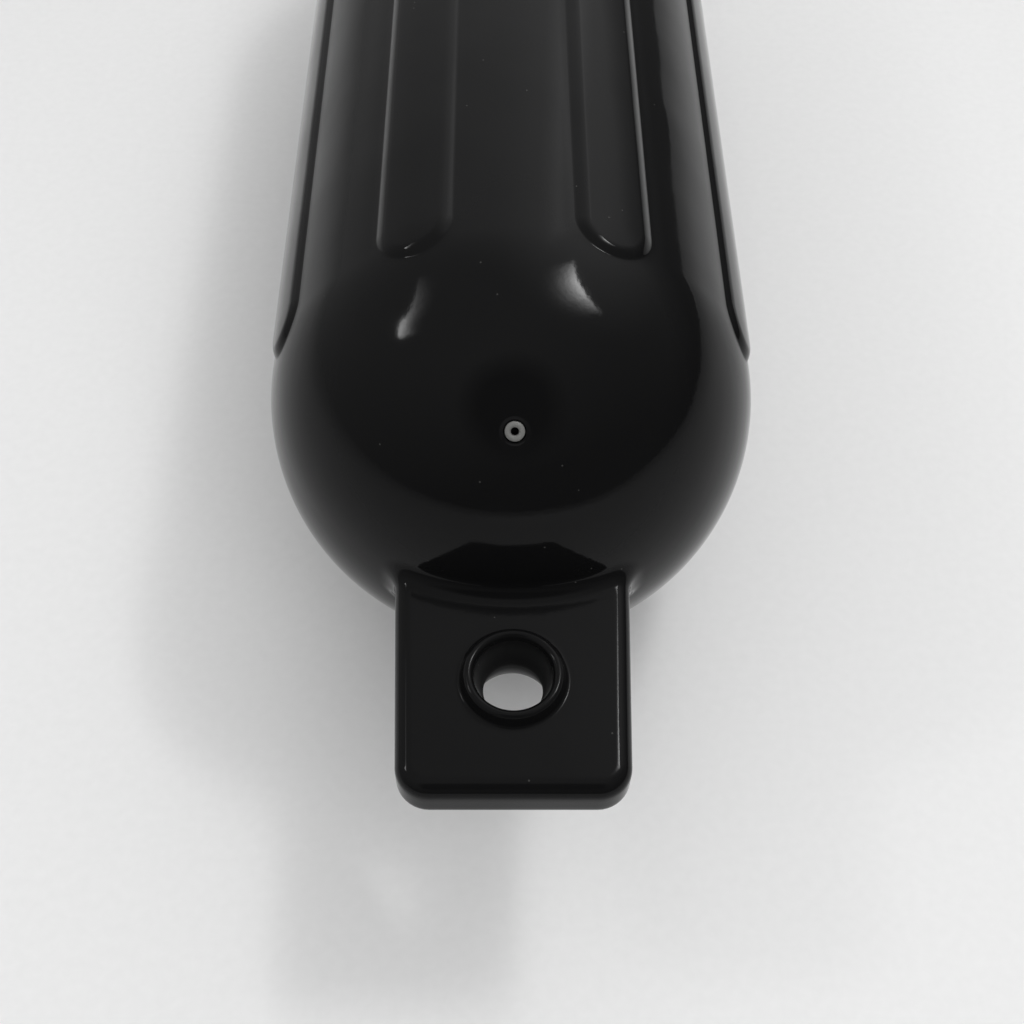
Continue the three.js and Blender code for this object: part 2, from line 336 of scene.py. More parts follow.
def sector_outline(right, left):
    """Outline of the sector round a rib, with as many points as half_stadium gives."""
    along = np.linspace(0, RIB_END_CENTRE, RIB_STRAIGHT_STEPS, endpoint=False)
    side = np.linspace(RIB_END_CENTRE, RIB_PATCH_END, RIB_SIDE_STEPS + 1)
    across = np.linspace(right, -left, RIB_ACROSS_STEPS + 1)[1:-1]
    outline = [(right, t) for t in along] + [(right, t) for t in side]
    outline += [(s, RIB_PATCH_END) for s in across]
    return outline + [(-left, t) for t in side[::-1]] + [(-left, t) for t in along[::-1]]


def add_rib(skin, middle, right_span, left_span):
    """Half of one rib and of the plain skin round it."""
    to_length = math.radians(1) * BODY_RADIUS
    foot = half_stadium(RIB_HALF_WIDTH, RIB_HALF_WIDTH)
    border = sector_outline(right_span * to_length, left_span * to_length)
    rows = []
    for step in range(RIB_OUTSIDE_STEPS):
        share = 1 - step / RIB_OUTSIDE_STEPS
        rows.append([(*between(f, b, share), 0.0) for f, b in zip(foot, border)])
    for step in range(RIB_EDGE_STEPS + 1):
        share = step / RIB_EDGE_STEPS
        width = RIB_HALF_WIDTH - share * RIB_EDGE_WIDTH
        ring = half_stadium(width, width + share * RIB_END_SHORTER)
        rows.append([(s, t, rib_height(width)) for s, t in ring])
    top = RIB_HALF_WIDTH - RIB_EDGE_WIDTH
    for step in range(1, RIB_TOP_STEPS + 1):
        share = 1 - step / RIB_TOP_STEPS
        ring = half_stadium(top * share, (top + RIB_END_SHORTER) * share)
        rows.append([(s, t, rib_height(top * share)) for s, t in ring])
    skin.rows([[on_body(middle + s / to_length, t, h) for s, t, h in row] for row in rows])


def dome_angles():
    """Angles of the dome's columns: each sector's share, starting at the top."""
    angles = []
    for middle, right, left in rib_sectors():
        angles.extend(np.linspace(middle - left, middle + right, RIB_ACROSS_STEPS, endpoint=False))
    return angles


def patch_border(half_steps, point_at):
    """Points round a square patch, its corners at half_steps and so on. point_at takes two shares."""
    steps = 2 * half_steps
    border = []
    for k in range(4 * steps):
        side, place = divmod(k + half_steps, steps)
        run = place / half_steps - 1
        u, v = ((1, run), (-run, 1), (-1, -run), (run, -1))[side % 4]
        border.append(point_at(u, v))
    return border


def add_dome(skin, with_valve):
    angles = dome_angles()
    first = math.degrees(math.asin((RIB_PATCH_END - DOME_CENTRE) / BODY_RADIUS))
    low = VALVE_LATITUDE - VALVE_PATCH_REACH
    high = VALVE_LATITUDE + VALVE_PATCH_REACH
    rows = [[on_dome(a, lat) for a in angles] for lat in np.linspace(first, low, DOME_STEPS + 1)]
    skin.rows(rows, closed=True)
    latitudes = np.linspace(low, high, 2 * VALVE_PATCH_COLUMNS + 1)
    if with_valve:
        # The columns of the patch round the valve are left open.
        round_it = angles[VALVE_PATCH_COLUMNS : len(angles) - VALVE_PATCH_COLUMNS + 1]
        skin.rows([[on_dome(a, lat) for a in round_it] for lat in latitudes])
        add_valve_seat(skin, angles[1])
    else:
        skin.rows([[on_dome(a, lat) for a in angles] for lat in latitudes], closed=True)
    return [on_dome(a, high) for a in angles]


def add_valve_seat(skin, column_angle):
    """Patch of the dome with the valve's seat: a soft lip, a straight wall and a flat bottom."""
    axis = np.array(on_dome(0, VALVE_LATITUDE, 0)) + (0, DOME_CENTRE, 0)
    axis /= np.linalg.norm(axis)
    down = np.cross(axis, (1, 0, 0))
    down *= -1 if down[1] > 0 else 1
    centre = np.array((0, -DOME_CENTRE, 0))
    border = patch_border(
        VALVE_PATCH_COLUMNS,
        lambda u, v: on_dome(
            u * VALVE_PATCH_COLUMNS * column_angle, VALVE_LATITUDE + v * VALVE_PATCH_REACH
        ),
    )
    turns = 2 * math.pi * np.arange(len(border)) / len(border)

    def ring(radius, height):
        lean = math.asin(radius / BODY_RADIUS)
        out = BODY_RADIUS + height
        return [
            tuple(
                centre
                + out * math.cos(lean) * axis
                + out * math.sin(lean) * (math.cos(t) * np.array((1, 0, 0)) + math.sin(t) * down)
            )
            for t in turns
        ]

    lip = SEAT_RADIUS + SEAT_LIP_WIDTH
    rows = []
    for step in range(SEAT_OUTSIDE_STEPS):
        share = step / SEAT_OUTSIDE_STEPS
        row = []
        for far, near in zip(border, ring(lip, 0)):
            spot = np.array(between(far, near, share)) - centre
            row.append(tuple(centre + spot * BODY_RADIUS / np.linalg.norm(spot)))
        rows.append(row)
    for share in np.linspace(0, 1, SEAT_LIP_STEPS + 1):
        rows.append(ring(lip - share * SEAT_LIP_WIDTH, SEAT_LIP_HEIGHT * smooth_step(share)))
    for share in np.linspace(0, 1, SEAT_WALL_STEPS + 1)[1:]:
        rows.append(ring(SEAT_RADIUS, SEAT_LIP_HEIGHT - share * (SEAT_LIP_HEIGHT + SEAT_DEPTH)))
    rows.append(ring(SEAT_RADIUS / 2, -SEAT_DEPTH))
    rows.append(ring(0, -SEAT_DEPTH))
    skin.rows(rows, closed=True)


def tab_half_width(from_tip):
    grow = (TAB_ROOT_WIDTH - TAB_TIP_WIDTH) / TAB_LENGTH
    return (TAB_TIP_WIDTH + grow * from_tip) / 2


CORNER_CENTRE_X = tab_half_width(TAB_CORNER_RADIUS) - TAB_CORNER_RADIUS / math.cos(TAB_LEAN)


def section_quadrant():
    """Quarter of the tab's section, from the middle of the upper face to the middle of the side.

    Each entry has the share of the half face, the share of the side's height and the outward direction."""
    quadrant = [(c, 1, 0, 1) for c in range(TAB_FACE_COLUMNS)]
    for out_z, out_x in arc_points(0, 0, 1, 0, 90, TAB_EDGE_STEPS):
        quadrant.append((TAB_FACE_COLUMNS, 1, out_x, out_z))
    for step in range(1, TAB_SIDE_STEPS + 1):
        quadrant.append((TAB_FACE_COLUMNS, 1 - step / TAB_SIDE_STEPS, 1, 0))
    return quadrant


def face_x(column, edge):
    """x of a column of the tab's face, which ends at edge. The eye's patch has columns of its own."""
    if column <= EYE_PATCH_STEPS:
        return EYE_PATCH_HALF * column / EYE_PATCH_STEPS
    share = (column - EYE_PATCH_STEPS) / (TAB_FACE_COLUMNS - EYE_PATCH_STEPS)
    return EYE_PATCH_HALF + (edge - EYE_PATCH_HALF) * share


def section_ring(out, above):
    """Ring round the tab's root at a distance out from the tab and above the dome."""
    quadrant = section_quadrant()
    last = len(quadrant) - 1
    signs = [(1, 1, i) for i in range(last)]
    signs += [(1, -1, i) for i in range(last, 0, -1)]
    signs += [(-1, -1, i) for i in range(last)]
    signs += [(-1, 1, i) for i in range(last, 0, -1)]
    reach = TAB_EDGE_RADIUS + out
    ring = []
    for side, face, i in signs:
        column, height, out_x, out_z = quadrant[i]
        z = height * (TAB_THICKNESS / 2 - TAB_EDGE_RADIUS) + out_z * reach

        def x_at(half_width):
            return face_x(column, half_width - TAB_EDGE_RADIUS) + out_x * reach

        from_tip = HALF_LENGTH - dome_at(x_at(TAB_ROOT_WIDTH / 2), z) - above
        x = x_at(tab_half_width(from_tip))
        ring.append((side * x, -(dome_at(x, z) + above), face * z))
    return ring


def add_fillet(skin, dome_row):
    """From the dome's last row to the tab, over a hollow fillet. Returns the ring on the tab."""
    outer = section_ring(TAB_FILLET_RADIUS, 0)
    rows = []
    for step in range(DOME_TO_FILLET_STEPS):
        row = []
        for far, near in zip(dome_row, outer):
            x, _, z = between(far, near, step / DOME_TO_FILLET_STEPS)
            row.append((x, -dome_at(x, z), z))
        rows.append(row)
    hollow = arc_points(1, 1, 1, 270, 180, TAB_FILLET_STEPS)
    rows += [section_ring(TAB_FILLET_RADIUS * o, TAB_FILLET_RADIUS * a) for o, a in hollow]
    skin.rows(rows, closed=True)
    return rows[-1]


def tab_stations():
    """Functions from an inset to a point (x, y) of the outline, from the root's right side round the tip."""
    tip = -HALF_LENGTH
    centre_y = tip + TAB_CORNER_RADIUS
    lean_cos = math.cos(TAB_LEAN)
    lean_sin = math.sin(TAB_LEAN)

    def on_side(from_tip):
        return lambda inset: (
            tab_half_width(from_tip) - inset * lean_cos,
            tip + from_tip + inset * lean_sin,
        )

    def on_corner(angle):
        return lambda inset: (
            CORNER_CENTRE_X + (TAB_CORNER_RADIUS - inset) * math.cos(angle),
            centre_y + (TAB_CORNER_RADIUS - inset) * math.sin(angle),
        )

    def on_tip(x):
        return lambda inset: (x, tip + inset)

    patch_far = EYE_TO_TIP + EYE_PATCH_HALF
    patch_near = EYE_TO_TIP - EYE_PATCH_HALF
    corner_from = TAB_CORNER_RADIUS * (1 - lean_sin)
    side = [on_side(d) for d in np.linspace(patch_far, patch_near, 2 * EYE_PATCH_STEPS + 1)]
    side += [on_side(d) for d in np.linspace(patch_near, corner_from, TAB_LINE_STEPS + 1)[1:]]
    corner = np.linspace(-TAB_LEAN, -math.pi / 2, 2 * TAB_ARC_STEPS + 1)[1:]
    side += [on_corner(angle) for angle in corner]
    line_columns = TAB_FACE_COLUMNS - TAB_ARC_STEPS
    line = []
    for column in range(line_columns - 1, -1, -1):
        if column <= EYE_PATCH_STEPS:
            x = EYE_PATCH_HALF * column / EYE_PATCH_STEPS
        else:
            share = (column - EYE_PATCH_STEPS) / (line_columns - EYE_PATCH_STEPS)
            x = EYE_PATCH_HALF + (CORNER_CENTRE_X - EYE_PATCH_HALF) * share
        line.append(on_tip(x))
    right = side + line

    def mirrored(station):
        return lambda inset: (-station(inset)[0], station(inset)[1])

    return right + [mirrored(station) for station in right[-2::-1]]


def edge_levels():
    """(inset, z) down the tab's rounded side, from the upper face to the lower one."""
    straight = TAB_THICKNESS / 2 - TAB_EDGE_RADIUS
    upper = [
        (TAB_EDGE_RADIUS - x, straight + z)
        for z, x in arc_points(0, 0, TAB_EDGE_RADIUS, 0, 90, TAB_EDGE_STEPS)
    ]
    sides = [(0.0, straight * (1 - step / TAB_SIDE_STEPS)) for step in range(1, TAB_SIDE_STEPS + 1)]
    half = upper + sides
    return half + [(inset, -z) for inset, z in half[-2::-1]]


def add_tab(skin, ring):
    """Sides, both faces and the rope eye of the tab. ring is the fillet's last row, round the root."""
    levels = edge_levels()
    stations = tab_stations()
    quarter = len(ring) // 4
    right_root = ring[TAB_FACE_COLUMNS : 2 * quarter - TAB_FACE_COLUMNS + 1]
    left_root = [(-x, y, z) for x, y, z in right_root]
    strip = [[(*station(inset), z) for inset, z in levels] for station in stations]

    def joint_rows(root, first):
        shares = np.linspace(0, 1, TAB_ROOT_STEPS, endpoint=False)
        return [[between(a, b, share) for a, b in zip(root, first)] for share in shares]

    skin.rows(joint_rows(right_root, strip[0]) + strip)
    skin.rows(joint_rows(left_root, strip[-1]) + [strip[-1]])

    upper_root = [ring[i] for i in range(-TAB_FACE_COLUMNS, TAB_FACE_COLUMNS + 1)]
    for face in (1, -1):
        root = [(x, y, face * abs(z)) for x, y, z in upper_root]
        border = [(*station(TAB_EDGE_RADIUS), face * TAB_THICKNESS / 2) for station in stations]
        add_tab_face(skin, root, border, face)
        add_eye(skin, face)


def face_row(right_end, left_end, y, z):
    """Row of the tab's face, straight over the eye's patch and then on to its two ends."""
    row = []
    for column in range(-TAB_FACE_COLUMNS, TAB_FACE_COLUMNS + 1):
        end = right_end if column > 0 else left_end
        if abs(column) <= EYE_PATCH_STEPS:
            row.append((EYE_PATCH_HALF * column / EYE_PATCH_STEPS, y, z))
        else:
            share = (abs(column) - EYE_PATCH_STEPS) / (TAB_FACE_COLUMNS - EYE_PATCH_STEPS)
            row.append(between((math.copysign(EYE_PATCH_HALF, column), y, z), end, share))
    return row


def add_tab_face(skin, root, border, face):
    """Upper or lower face in three parts: root to eye patch, beside the patch, and patch to tip."""
    z = face * TAB_THICKNESS / 2
    patch_rows = 2 * EYE_PATCH_STEPS
    side_count = patch_rows + TAB_LINE_STEPS + TAB_ARC_STEPS
    right = border[: side_count + 1]
    left = border[: -side_count - 2 : -1]
    tip_line = border[side_count : len(border) - side_count][::-1]
    eye_y = EYE_TO_TIP - HALF_LENGTH
    ys = np.linspace(eye_y + EYE_PATCH_HALF, eye_y - EYE_PATCH_HALF, patch_rows + 1)
    rows = [face_row(right[i], left[i], ys[i], z) for i in range(patch_rows + 1)]

    shares = np.linspace(0, 1, TAB_ROOT_STEPS + 1)
    skin.rows([[between(a, b, share) for a, b in zip(root, rows[0])] for share in shares])
    beside = TAB_FACE_COLUMNS - EYE_PATCH_STEPS + 1
    skin.rows([row[:beside] for row in rows])
    skin.rows([row[-beside:] for row in rows])

    # Patch to tip: a sheet stretched between its four borders.
    near = np.array(rows[-1])
    far = np.array(tip_line)
    right_side = np.array(right[patch_rows:])
    left_side = np.array(left[patch_rows:])
    sheet = []
    for i, v in enumerate(np.linspace(0, 1, len(right_side))):
        row = []
        for j, u in enumerate(np.linspace(0, 1, len(near))):
            ruled = (1 - v) * near[j] + v * far[j] + (1 - u) * left_side[i] + u * right_side[i]
            corners = (1 - u) * ((1 - v) * near[0] + v * far[0])
            corners = corners + u * ((1 - v) * near[-1] + v * far[-1])
            row.append(tuple(ruled - corners))
        sheet.append(row)
    skin.rows(sheet)


def eye_profile():
    """(radius, height over the mid-plane) from the lip's foot over its crest to the throat's middle."""
    face = TAB_THICKNESS / 2
    crest = face + EYE_CREST_HEIGHT - EYE_CREST_ROUNDING
    throat = (EYE_THROAT_RADIUS, EYE_THROAT_LAND / 2)
    run = (EYE_CREST_RADIUS - throat[0], crest - throat[1])
    wall = math.atan2(run[1], run[0]) + math.asin(EYE_CREST_ROUNDING / math.hypot(*run))
    foot_x = EYE_FOOT_RADIUS + EYE_FOOT_FILLET
    foot_y = face + EYE_FOOT_FILLET
    flank = 180 + EYE_FLANK_LEAN
    profile = arc_points(foot_x, foot_y, EYE_FOOT_FILLET, 270, flank, EYE_FOOT_STEPS)
    over = math.degrees(wall) + 90
    crest_arc = arc_points(
        EYE_CREST_RADIUS, crest, EYE_CREST_ROUNDING, EYE_FLANK_LEAN, over, EYE_CREST_STEPS
    )
    profile += [between(profile[-1], crest_arc[0], 0.5)] + crest_arc
    shares = np.linspace(0, 1, EYE_WALL_STEPS + 1)[1:-1]
    profile += [between(crest_arc[-1], throat, share) for share in shares]
    for share in EYE_THROAT_SHARES:
        ease = EYE_THROAT_EASE * EYE_THROAT_LAND * (1 - share) ** 2 / 4
        profile.append((throat[0] + ease, throat[1] * (1 - share)))
    return profile


def add_eye(skin, face):
    """The eye's patch on one face of the tab, from its square border to the middle of the throat."""
    centre_y = EYE_TO_TIP - HALF_LENGTH
    border = patch_border(EYE_PATCH_STEPS, lambda u, v: (u * EYE_PATCH_HALF, v * EYE_PATCH_HALF))
    turns = 2 * math.pi * np.arange(len(border)) / len(border)
    profile = eye_profile()
    foot = profile[0][0]
    rows = []
    for step in range(EYE_OUTSIDE_STEPS):
        share = step / EYE_OUTSIDE_STEPS
        rows.append(
            [
                (*between(far, (foot * math.cos(t), foot * math.sin(t)), share), TAB_THICKNESS / 2)
                for far, t in zip(border, turns)
            ]
        )
    for radius, height in profile:
        rows.append([(radius * math.cos(t), radius * math.sin(t), height) for t in turns])
    placed = [[(x, y + centre_y, face * z) for x, y, z in row] for row in rows]
    skin.rows(placed, closed=True)


def half_skin(with_valve):
    """The half at -Y, with its end."""
    skin = Skin()
    for middle, right, left in rib_sectors():
        add_rib(skin, middle, right, left)
    dome_row = add_dome(skin, with_valve)
    ring = add_fillet(skin, dome_row)
    add_tab(skin, ring)
    return skin


def mesh_object(name, points, faces):
    """Welded mesh with its faces turned outward, smooth except over edges sharper than the angle."""
    bm = bmesh.new()
    verts = [bm.verts.new(point) for point in points]
    for face in faces:
        bm.faces.new([verts[i] for i in face])
    bmesh.ops.remove_doubles(bm, verts=bm.verts, dist=WELD)
    bmesh.ops.recalc_face_normals(bm, faces=bm.faces)
    mesh = bpy.data.meshes.new(name)
    bm.to_mesh(mesh)
    bm.free()
    mesh.shade_smooth()
    mesh.set_sharp_from_angle(angle=SHARP_ANGLE)
    obj = bpy.data.objects.new(name, mesh)
    bpy.context.scene.collection.objects.link(obj)
    return obj


def fender_skin():
    skin = half_skin(with_valve=True)
    skin.join(half_skin(with_valve=False).turned())
    raised = [(x, y, z + AXIS_HEIGHT) for x, y, z in skin.points]
    return mesh_object("fender_skin", raised, skin.faces)


def valve_matrix():
    """From the valve's own frame, its axis on Z and its zero on the dome, to its place."""
    spot = Vector(on_dome(0, VALVE_LATITUDE)) + Vector((0, 0, AXIS_HEIGHT))
    lean = math.radians(VALVE_LATITUDE)
    return Matrix.Translation(spot) @ Matrix.Rotation(lean, 4, "X")


def valve_plug():
    """Grey valve: a plug with a thick round rim and a blind hole."""
    rim = (VALVE_RADIUS - VALVE_HOLE_RADIUS) / 2
    top = VALVE_STAND_OUT - rim
    bottom = VALVE_STAND_OUT - VALVE_LENGTH
    hole_bottom = VALVE_STAND_OUT - VALVE_HOLE_DEPTH
    profile = [(0, bottom), (VALVE_RADIUS - VALVE_CHAMFER, bottom), (VALVE_RADIUS, bottom + VALVE_CHAMFER)]
    profile += arc_points(VALVE_HOLE_RADIUS + rim, top, rim, 0, 180, VALVE_RIM_STEPS)
    profile += [(VALVE_HOLE_RADIUS, hole_bottom), (0, hole_bottom)]
    turns = 2 * math.pi * np.arange(VALVE_SEGMENTS) / VALVE_SEGMENTS
    place = valve_matrix()
    skin = Skin()
    rows = []
    for radius, height in profile:
        row = [Vector((radius * math.cos(t), radius * math.sin(t), height)) for t in turns]
        rows.append([tuple(place @ point) for point in row])
    skin.rows(rows, closed=True)
    return mesh_object("valve_plug", skin.points, skin.faces)


def new_material(name):
    material = bpy.data.materials.new(name)
    material.use_nodes = True
    return material, material.node_tree.nodes, material.node_tree.links


def noise(nodes, links, coordinates, scale, detail=2.0, roughness=0.5):
    node = nodes.new("ShaderNodeTexNoise")
    node.inputs["Scale"].default_value = scale
    node.inputs["Detail"].default_value = detail
    node.inputs["Roughness"].default_value = roughness
    links.new(coordinates, node.inputs["Vector"])
    return node.outputs["Fac"]


def remap(nodes, links, value, low, high, to_low, to_high):
    node = nodes.new("ShaderNodeMapRange")
    node.inputs["From Min"].default_value = low
    node.inputs["From Max"].default_value = high
    node.inputs["To Min"].default_value = to_low
    node.inputs["To Max"].default_value = to_high
    links.new(value, node.inputs["Value"])
    return node.outputs["Result"]


def bump(nodes, links, height, distance, strength, before=None):
    node = nodes.new("ShaderNodeBump")
    node.inputs["Distance"].default_value = distance
    node.inputs["Strength"].default_value = strength
    links.new(height, node.inputs["Height"])
    if before is not None:
        links.new(before, node.inputs["Normal"])
    return node.outputs["Normal"]


def calculate(nodes, links, operation, first, second):
    """Maths node. Its inputs are other nodes' outputs or numbers."""
    node = nodes.new("ShaderNodeMath")
    node.operation = operation
    for socket, value in zip(node.inputs, (first, second)):
        if isinstance(value, (int, float)):
            socket.default_value = value
        else:
            links.new(value, socket)
    return node.outputs["Value"]


def along_vector(nodes, links, direction, vector):
    node = nodes.new("ShaderNodeVectorMath")
    node.operation = "DOT_PRODUCT"
    links.new(direction, node.inputs[0])
    node.inputs[1].default_value = vector
    return node.outputs["Value"]


def blend(nodes, links, factor, first, second):
    """Colour between two. The first is a colour or another node's output, the second a colour."""
    node = nodes.new("ShaderNodeMix")
    node.data_type = "RGBA"
    links.new(factor, node.inputs["Factor"])
    if isinstance(first, tuple):
        node.inputs["A"].default_value = first
    else:
        links.new(first, node.inputs["A"])
    node.inputs["B"].default_value = second
    return node.outputs["Result"]


def dust(nodes, links, coordinates):
    """1 on a few fine specks, 0 elsewhere."""
    cells = nodes.new("ShaderNodeTexVoronoi")
    cells.inputs["Scale"].default_value = DUST_SCALE
    links.new(coordinates, cells.inputs["Vector"])
    speck = remap(nodes, links, cells.outputs["Distance"], *DUST_SIZE, 1, 0)
    pick = nodes.new("ShaderNodeSeparateColor")
    links.new(cells.outputs["Color"], pick.inputs["Color"])
    chosen = remap(nodes, links, pick.outputs["Red"], *DUST_BARE_SHARE, 0, 1)
    return calculate(nodes, links, "MULTIPLY", speck, chosen)


def off_eye(nodes, links, coordinates):
    """Distance from the nearer rope eye's axis."""
    split = nodes.new("ShaderNodeSeparateXYZ")
    links.new(coordinates, split.inputs["Vector"])
    towards_tip = calculate(nodes, links, "ABSOLUTE", split.outputs["Y"], 0)
    along = calculate(nodes, links, "SUBTRACT", towards_tip, HALF_LENGTH - EYE_TO_TIP)
    flat = nodes.new("ShaderNodeCombineXYZ")
    links.new(split.outputs["X"], flat.inputs["X"])
    links.new(along, flat.inputs["Y"])
    length = nodes.new("ShaderNodeVectorMath")
    length.operation = "LENGTH"
    links.new(flat.outputs["Vector"], length.inputs[0])
    return length.outputs["Value"]


def black_pvc():
    """Glossy black soft PVC: slow waves and ripples from moulding, orange peel, a haze and some dust."""
    material, nodes, links = new_material("black_pvc")
    shader = nodes["Principled BSDF"]
    place = nodes.new("ShaderNodeTexCoord").outputs["Object"]
    tone = blend(nodes, links, dust(nodes, links, place), PVC_BLACK, DUST_TONE)
    links.new(tone, shader.inputs["Base Color"])
    haze = noise(nodes, links, place, 38, detail=4, roughness=0.6)
    gloss = remap(nodes, links, haze, 0.3, 0.7, *PVC_ROUGHNESS)
    rough = remap(nodes, links, off_eye(nodes, links, place), *EYE_ROUGH_REACH, EYE_ROUGHNESS, 0)
    links.new(calculate(nodes, links, "MAXIMUM", gloss, rough), shader.inputs["Roughness"])
    waves = noise(nodes, links, place, 17, detail=1, roughness=0.4)
    wavy = bump(nodes, links, waves, 1.5 * MM, 0.5)
    ripples = noise(nodes, links, place, 46, detail=1, roughness=0.4)
    wavy = bump(nodes, links, ripples, 0.25 * MM, 0.5, wavy)
    peel = noise(nodes, links, place, 650, detail=1)
    links.new(bump(nodes, links, peel, 0.02 * MM, 0.5, wavy), shader.inputs["Normal"])
    shader.inputs["IOR"].default_value = PVC_IOR
    shader.inputs["Specular IOR Level"].default_value = PVC_SPECULAR
    return material


def valve_grey():
    """Grey thermoplastic rubber with a satin, slightly grainy skin, and painted shade down its hole."""
    material, nodes, links = new_material("valve_grey")
    shader = nodes["Principled BSDF"]
    place = nodes.new("ShaderNodeTexCoord").outputs["Object"]
    patches = noise(nodes, links, place, 420, detail=3)
    tone = blend(nodes, links, patches, VALVE_DARKER, VALVE_LIGHTER)
    spot = valve_matrix().translation
    axis = valve_matrix().col[2].xyz
    rim = spot.dot(axis) + VALVE_STAND_OUT
    height = along_vector(nodes, links, place, axis)
    deep, shallow = VALVE_HOLE_SHADE_DEPTHS
    # Painted shade: the hole's walls darken with depth below the rim.
    hole_shade = remap(nodes, links, height, rim - deep, rim - shallow, 1, 0)
    shaded = blend(nodes, links, hole_shade, tone, VALVE_HOLE_PAINTED_SHADE)
    links.new(shaded, shader.inputs["Base Color"])
    links.new(remap(nodes, links, patches, 0.3, 0.7, *VALVE_ROUGHNESS), shader.inputs["Roughness"])
    grain = noise(nodes, links, place, 2600, detail=1)
    links.new(bump(nodes, links, grain, 0.03 * MM, 0.5), shader.inputs["Normal"])
    return material


def floor_material():
    """Matt white paper."""
    material, nodes, links = new_material("floor_paper")
    shader = nodes["Principled BSDF"]
    place = nodes.new("ShaderNodeTexCoord").outputs["Object"]
    fibres = noise(nodes, links, place, 260, detail=3)
    tone = blend(nodes, links, fibres, PAPER_DARKER, PAPER_LIGHTER)
    links.new(tone, shader.inputs["Base Color"])
    shader.inputs["Roughness"].default_value = 0.9
    shader.inputs["Specular IOR Level"].default_value = 0.1
    return material


def floor():
    turns = ((-1, -1), (1, -1), (1, 1), (-1, 1))
    corners = [(FLOOR_REACH * x, FLOOR_REACH * y, 0) for x, y in turns]
    mesh = bpy.data.meshes.new("floor")
    mesh.from_pydata(corners, [], [(0, 1, 2, 3)])
    mesh.materials.append(floor_material())
    plane = bpy.data.objects.new("floor", mesh)
    bpy.context.scene.collection.objects.link(plane)


def lobe(nodes, links, direction, towards, reach, strength):
    """Soft light round a direction. reach is the cosine at which it has faded out."""
    share = remap(nodes, links, along_vector(nodes, links, direction, towards), reach, 1, 0, 1)
    return calculate(nodes, links, "MULTIPLY", calculate(nodes, links, "POWER", share, 2), strength)


def strip(nodes, links, direction):
    """1 on the middle line of the strip of lighter wall, 0 off it."""
    aside = calculate(nodes, links, "ABSOLUTE", along_vector(nodes, links, direction, STRIP_SIDE), 0)
    across = remap(nodes, links, aside, 0, STRIP_HALF_WIDTH, 1, 0)
    rise = along_vector(nodes, links, direction, STRIP_RISE)
    lit = remap(nodes, links, rise, *STRIP_LIT_RANGE, 0, 1)
    height = along_vector(nodes, links, direction, (0, 0, 1))
    fade = remap(nodes, links, height, *STRIP_FADE_RANGE, 1, 0)
    both = calculate(nodes, links, "MULTIPLY", lit, fade)
    soft = calculate(nodes, links, "POWER", across, STRIP_SOFTNESS)
    return calculate(nodes, links, "MULTIPLY", soft, both)


def studio_room():
    """Soft grey surroundings that show in the gloss."""
    world = bpy.data.worlds.new("studio_room")
    bpy.context.scene.world = world
    world.use_nodes = True
    nodes = world.node_tree.nodes
    links = world.node_tree.links
    direction = nodes.new("ShaderNodeTexCoord").outputs["Generated"]
    side = along_vector(nodes, links, direction, ROOM_SIDE)
    level = remap(nodes, links, side, *ROOM_RANGE, *ROOM_TONES)
    lights = (
        lobe(nodes, links, direction, WALL_SIDE, WALL_REACH, WALL_LIGHT),
        lobe(nodes, links, direction, KEY_HALO_SIDE, KEY_HALO_REACH, KEY_HALO),
        calculate(nodes, links, "MULTIPLY", strip(nodes, links, direction), STRIP_LIGHT),
    )
    for light in lights:
        level = calculate(nodes, links, "ADD", level, light)
    rise = along_vector(nodes, links, direction, ROOM_RISE)
    low = remap(nodes, links, rise, *ROOM_LOW_RANGE, ROOM_LOW_SHARE, 1)
    level = calculate(nodes, links, "MULTIPLY", level, low)
    off_photographer = nodes.new("ShaderNodeVectorMath")
    off_photographer.operation = "DISTANCE"
    links.new(direction, off_photographer.inputs[0])
    off_photographer.inputs[1].default_value = PHOTOGRAPHER_SIDE
    distance = off_photographer.outputs["Value"]
    shade = remap(nodes, links, distance, *PHOTOGRAPHER_REACH, PHOTOGRAPHER_SHARE, 1)
    background = nodes["Background"]
    links.new(calculate(nodes, links, "MULTIPLY", level, shade), background.inputs["Strength"])
    background.inputs["Color"].default_value = (1, 1, 1, 1)


def over_width(nodes, links, share, points):
    """Curve over the lamp's width, through (share of the width, value)."""
    node = nodes.new("ShaderNodeFloatCurve")
    curve = node.mapping.curves[0]
    curve.points[0].location = points[0]
    curve.points[1].location = points[-1]
    for point in points[1:-1]:
        curve.points.new(*point)
    node.mapping.update()
    links.new(share, node.inputs["Value"])
    return node.outputs["Value"]


def fade_lamp(lamp, fall, brightness, first_light):
    """The lamp is brightest where its lit part begins, and fades towards its top.

    fall is how steeply. brightness and first_light are curves over its width: how bright it is there,
    and how far up its lit part begins, in shares of its height."""
    lamp.use_nodes = True
    nodes = lamp.node_tree.nodes
    links = lamp.node_tree.links
    split = nodes.new("ShaderNodeSeparateXYZ")
    links.new(nodes.new("ShaderNodeNewGeometry").outputs["Parametric"], split.inputs["Vector"])
    start = over_width(nodes, links, split.outputs["X"], first_light)
    past = calculate(nodes, links, "SUBTRACT", split.outputs["Y"], start)
    edge = remap(nodes, links, past, 0, LIT_EDGE, 0, 1)
    fading = calculate(nodes, links, "POWER", remap(nodes, links, past, 0, 1, 1, 0), fall)
    bright = over_width(nodes, links, split.outputs["X"], brightness)
    shape = calculate(nodes, links, "MULTIPLY", edge, fading)
    strength = calculate(nodes, links, "MULTIPLY", shape, bright)
    links.new(strength, nodes["Emission"].inputs["Strength"])


